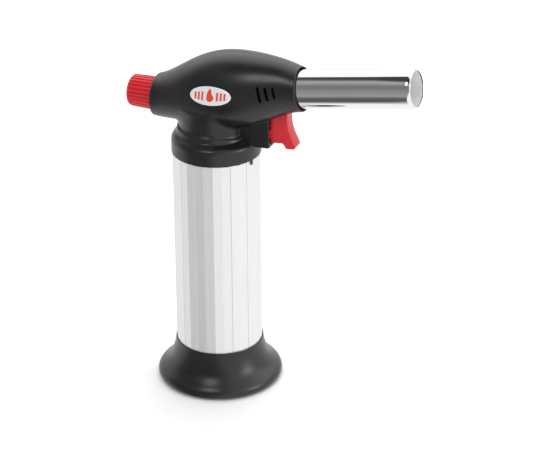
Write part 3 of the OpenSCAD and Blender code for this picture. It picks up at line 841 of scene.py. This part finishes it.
def knob_mesh():
    """Ribbed drum, a little wider at the head, with a dished end face and a hollow front."""
    ribs, per = 26, 12
    around = ribs * per
    groove_half = 0.27  # half the width of a groove, as a share of a rib and its groove
    # (distance along the axis, radius, depth of the grooves)
    rings = [(-49.2, 0.0, 0), (-49.2, 2.0, 0), (-49.3, 5.4, 0), (-49.7, 6.3, 0), (-51.2, 6.9, 0),
             (-51.65, 7.3, 0), (-51.8, 7.8, 0), (-51.7, 8.3, 0), (-51.3, 8.7, 0.25),
             (-50.9, 8.95, 0.5), (-50.3, 9.12, 0.72), (-49.0, 9.2, 0.78), (-46, 9.3, 0.78),
             (-43, 9.4, 0.78), (-40, 9.48, 0.78), (-37, 9.55, 0.78), (-35.2, 9.6, 0.78),
             (-35.0, 9.3, 0.3), (-34.8, 8.9, 0), (-34.5, 8.7, 0), (-34.5, 7.6, 0), (-46.0, 7.4, 0),
             (-46.5, 4.2, 0), (-36, 4.0, 0), (-35.8, 3.8, 0), (-35.8, 2.52, 0), (-46.1, 2.52, 0),
             (-46.1, 0.0, 0)]
    verts = []
    for h, r, depth in rings:
        for i in range(around):
            a = 2 * math.pi * i / around
            groove = max(0.0, 1 - abs((i % per) / per - 0.5) / groove_half)
            rr = r - depth * (1 - (1 - groove) ** 2)
            verts.append(along_knob((rr * math.cos(a), rr * math.sin(a), h)))
    obj = new_object("knob_drum", verts, ring_faces(len(rings), around))
    weld(obj)
    sharpen(obj, 45)
    return obj


knob = knob_mesh()
finish_piece(knob, "knob", ["flame_knob"], RED)

# ---------------------------------------------------------------- trigger

TRIGGER = 3.9  # half thickness of the finger piece
ARM_LOW, ARM_TOP, ARM_OUT = 158.2, 163.5, 5  # the arms' lower and upper edge and outer face
ARM_END, ARM_FRONT = 6.1, 35.02


def trigger_mesh():
    """Finger piece with a hollow for the striker, and two arms that run back into the head."""
    face = [(34.9, 155.8), (37.7, 156.0), (42.2, 156.4), (43.1, 155.4), (44.2, 153.4),
            (49.2, 153.8), (49.8, 155.4), (48.5, 158.1), (47.2, 160.7), (46.2, 163.1),
            (45.5, 165.7), (45.1, 168.3), (44.9, 171.0), (45.2, 174.9), (36.6, 174.9),
            (34.9, 169.6)]
    radii = [0.2, 2, 0.7, 0.7, 0.6, 0.7, 0.8, 2, 2, 2, 2, 2, 2, 0.5, 0.5, 0.3]
    obj = prism("trigger_piece", rounded(face, radii, 4), -TRIGGER, TRIGGER)
    bev = obj.modifiers.new("round", "BEVEL")
    bev.width = 0.55 * MM
    bev.segments = 4
    bev.limit_method = "ANGLE"
    bev.angle_limit = math.radians(50)
    apply_modifiers(obj)
    for side in (-1, 1):
        arm = box_object("arm", (ARM_END, side * 4.5 - 0.5, ARM_LOW),
                         (ARM_FRONT, side * 4.5 + 0.5, ARM_TOP))
        cut(obj, arm, "UNION")
    # a bar across the arms at their rear ends, and another at the finger piece
    for x0, x1, top in ((ARM_END, 8.6, PIEZO_Z), (34.6, ARM_FRONT, ARM_TOP)):
        cut(obj, box_object("bar", (x0, -ARM_OUT, ARM_LOW), (x1, ARM_OUT, top)), "UNION")
    cut(obj, lathe("pocket", [(0, 30), (3.1, 30), (3.1, 42), (0, 42)], 64, level_axis(PIEZO_Z)))
    sharpen(obj, 38)
    return obj


trig = trigger_mesh()
finish_piece(trig, "trigger", ["trigger"], RED)

# ---------------------------------------------------------------- springs

def coil_spring(name, mean, wire, turns, length, place):
    """Closed wire along a helix, wound a little tighter towards its two ends."""
    steps, around = int(turns * 26), 10
    verts = []
    for i in range(steps + 1):
        t = i / steps
        a = 2 * math.pi * turns * t
        lift = wire + (length - 2 * wire) * (t * t * (3 - 2 * t) * 0.25 + t * 0.75)
        for k in range(around):
            b = 2 * math.pi * k / around
            r = mean + wire * math.cos(b)
            verts.append(place((r * math.cos(a), r * math.sin(a), lift + wire * math.sin(b))))
    faces = ring_faces(steps + 1, around)
    faces.append(tuple(reversed(range(around))))
    faces.append(tuple(steps * around + k for k in range(around)))
    return new_object(name, verts, faces)


def spring_piece(cad, shape, place):
    """shape is mean radius, wire radius, turns and length."""
    obj = coil_spring(cad + "_coil", *shape, place)
    finish_piece(obj, "torch", [cad], STEEL)
    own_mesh(obj)


spring_piece("trigger_spring",
             (2.45, 0.3, 6.5, 12.2), level_axis(PIEZO_Z, 29.4))
spring_piece("poppet_spring",
             (2.2, 0.3, 4, 6.4), level_axis(KNOB_Z, -13.8))
spring_piece("refill_valve_spring",
             (1.9, 0.3, 5.5, 7.4), lambda v: (v[0], v[1], 21.8 + v[2]))

# ---------------------------------------------------------------- camera

YAW, PITCH, ROLL = math.radians(23.0), math.radians(26.513), math.radians(-0.38)
SENSOR, LENS, DISTANCE = 36, 159.794182, 1402.5
right_v = Vector((math.cos(YAW), math.sin(YAW), 0))
back_v = Vector((math.sin(YAW) * math.cos(PITCH), -math.cos(YAW) * math.cos(PITCH),
                 math.sin(PITCH)))
up_v = back_v.cross(right_v)
r2 = math.cos(ROLL) * right_v + math.sin(ROLL) * up_v
u2 = -math.sin(ROLL) * right_v + math.cos(ROLL) * up_v
# the middle of the tank sits left of and a little above the middle of the frame
off_x, off_y = -0.02343 * DISTANCE, 0.00251 * DISTANCE
tank_middle = Vector((0, 0, 100))
eye = tank_middle - (off_x * r2 + off_y * u2 - DISTANCE * back_v)
cam_data = bpy.data.cameras.new("camera")
cam = bpy.data.objects.new("camera", cam_data)
bpy.context.scene.collection.objects.link(cam)
cam_data.sensor_width = SENSOR
cam_data.lens = LENS
cam_data.clip_start, cam_data.clip_end = 0.05, 50
basis = Matrix((r2, u2, back_v)).transposed().to_4x4()
basis.translation = eye * MM
cam.matrix_world = basis
bpy.context.scene.camera = cam

# ---------------------------------------------------------------- studio

floor_mat = material("pale_floor", (0.93, 0.93, 0.93), 0.75, 0.0, moulded(40, 0.00001, 0.04, 0.01))
REACH, DROP = 6000, -0.02  # half size of the floor, and its height just under the foot
floor = new_object("floor", [(-REACH, -REACH, DROP), (REACH, -REACH, DROP), (REACH, REACH, DROP),
                             (-REACH, REACH, DROP)], [(0, 1, 2, 3)], smooth=False)
dress(floor, floor_mat)
floor.visible_glossy = False


def area_light(name, at, aim, size, power):
    """Soft box in metres and watts, turned towards aim."""
    data = bpy.data.lights.new(name, "AREA")
    data.shape = "RECTANGLE"
    data.size, data.size_y = size
    data.energy = power
    obj = bpy.data.objects.new(name, data)
    bpy.context.scene.collection.objects.link(obj)
    obj.location = at
    obj.rotation_mode = "QUATERNION"
    obj.rotation_quaternion = (Vector(aim) - Vector(at)).to_track_quat("-Z", "Y")
    return obj


top = area_light("top_box", (-0.1, 0.66, 1.2), (0, 0, 0.1), (1.6, 1.0), 9)
top.visible_glossy = False
area_light("front_box", (-0.03, -0.88, 1.20), (0, 0, 0.1), (0.36, 0.40), 3)
area_light("right_box", (1.40, -0.05, 0.50), (0, 0, 0.15), (0.5, 0.8), 5)

world = bpy.data.worlds.new("studio")
bpy.context.scene.world = world
world.use_nodes = True
wt = world.node_tree
wt.nodes.clear()
out = node(wt, "ShaderNodeOutputWorld")
tc = node(wt, "ShaderNodeTexCoord")
# the side of the room the torch faces away from is unlit. How dark it is changes with height,
# in grey bands; the white backdrop behind is the brightest part.
part = node(wt, "ShaderNodeSeparateXYZ", [(tc.outputs["Generated"], "Vector")])
bands = node(wt, "ShaderNodeValToRGB")
wt.links.new(ramp(wt, part.outputs["Z"], 0, 1, -1.0, 1.0), bands.inputs["Fac"])
stops = bands.color_ramp.elements
stops[0].position, stops[0].color = 0.0, (1, 1, 1, 1)
stops[1].position, stops[1].color = 1.0, (0.05, 0.05, 0.05, 1)
for at, grey in ((0.02, 0.8), (0.05, 0.26), (0.09, 0.10), (0.16, 0.10), (0.24, 0.16), (0.30, 0.34),
                 (0.42, 0.29), (0.55, 0.27), (0.64, 0.20), (0.71, 0.19), (0.78, 0.23), (0.85, 0.40),
                 (0.88, 0.34), (0.908, 0.09), (0.92, 0.05)):
    e = stops.new(at)
    e.color = (grey, grey, grey, 1)
level = node(wt, "ShaderNodeVectorMath", [(tc.outputs["Generated"], 0)], operation="MULTIPLY")
level.inputs[1].default_value = (1, 1, 0)
level = node(wt, "ShaderNodeVectorMath", [(level.outputs["Vector"], 0)], operation="NORMALIZE")
toward = node(wt, "ShaderNodeVectorMath", [(level.outputs["Vector"], 0)], operation="DOT_PRODUCT")
toward.inputs[1].default_value = (-0.45, -0.893, 0.0)
widen = node(wt, "ShaderNodeMath", [(part.outputs["Z"], 0), (toward.outputs["Value"], 2)],
             operation="MULTIPLY_ADD")
widen.inputs[1].default_value = 0.35
mask = ramp(wt, widen.outputs["Value"], 0, 1, 0.58, 0.72, "SMOOTHSTEP")
behind = ramp(wt, part.outputs["Y"], 0, 1, 0.1, 0.4, "SMOOTHSTEP")
above = ramp(wt, part.outputs["Z"], 0, 1, 0.25, 0.5, "SMOOTHSTEP")
both = node(wt, "ShaderNodeMath", [(behind, 0), (above, 1)], operation="MULTIPLY")
backdrop = node(wt, "ShaderNodeMath", [(both.outputs["Value"], 0)], operation="MULTIPLY_ADD")
backdrop.inputs[1].default_value = 1.1
backdrop.inputs[2].default_value = 1.0
room = node(wt, "ShaderNodeMix", [(mask, "Factor"), (backdrop.outputs["Value"], "A"),
                                  (bands.outputs["Color"], "B")], data_type="RGBA")
glossy = node(wt, "ShaderNodeBackground", [(room.outputs["Result"], "Color")], Strength=1.0)
plain = node(wt, "ShaderNodeBackground", Color=(1, 1, 1, 1), Strength=0.80)
white = node(wt, "ShaderNodeBackground", Color=(1, 1, 1, 1), Strength=1.0)
# reflections see the banded room, the camera sees white, and all else is lit evenly
ray = node(wt, "ShaderNodeLightPath")
lit = node(wt, "ShaderNodeMixShader", [(ray.outputs["Is Glossy Ray"], 0), (plain.outputs[0], 1),
                                       (glossy.outputs[0], 2)])
seen = node(wt, "ShaderNodeMixShader", [(ray.outputs["Is Camera Ray"], 0), (lit.outputs[0], 1),
                                        (white.outputs[0], 2)])
wt.links.new(seen.outputs[0], out.inputs["Surface"])

view = bpy.context.scene.view_settings
view.view_transform = "Standard"
view.look = "None"
view.exposure = 0.0
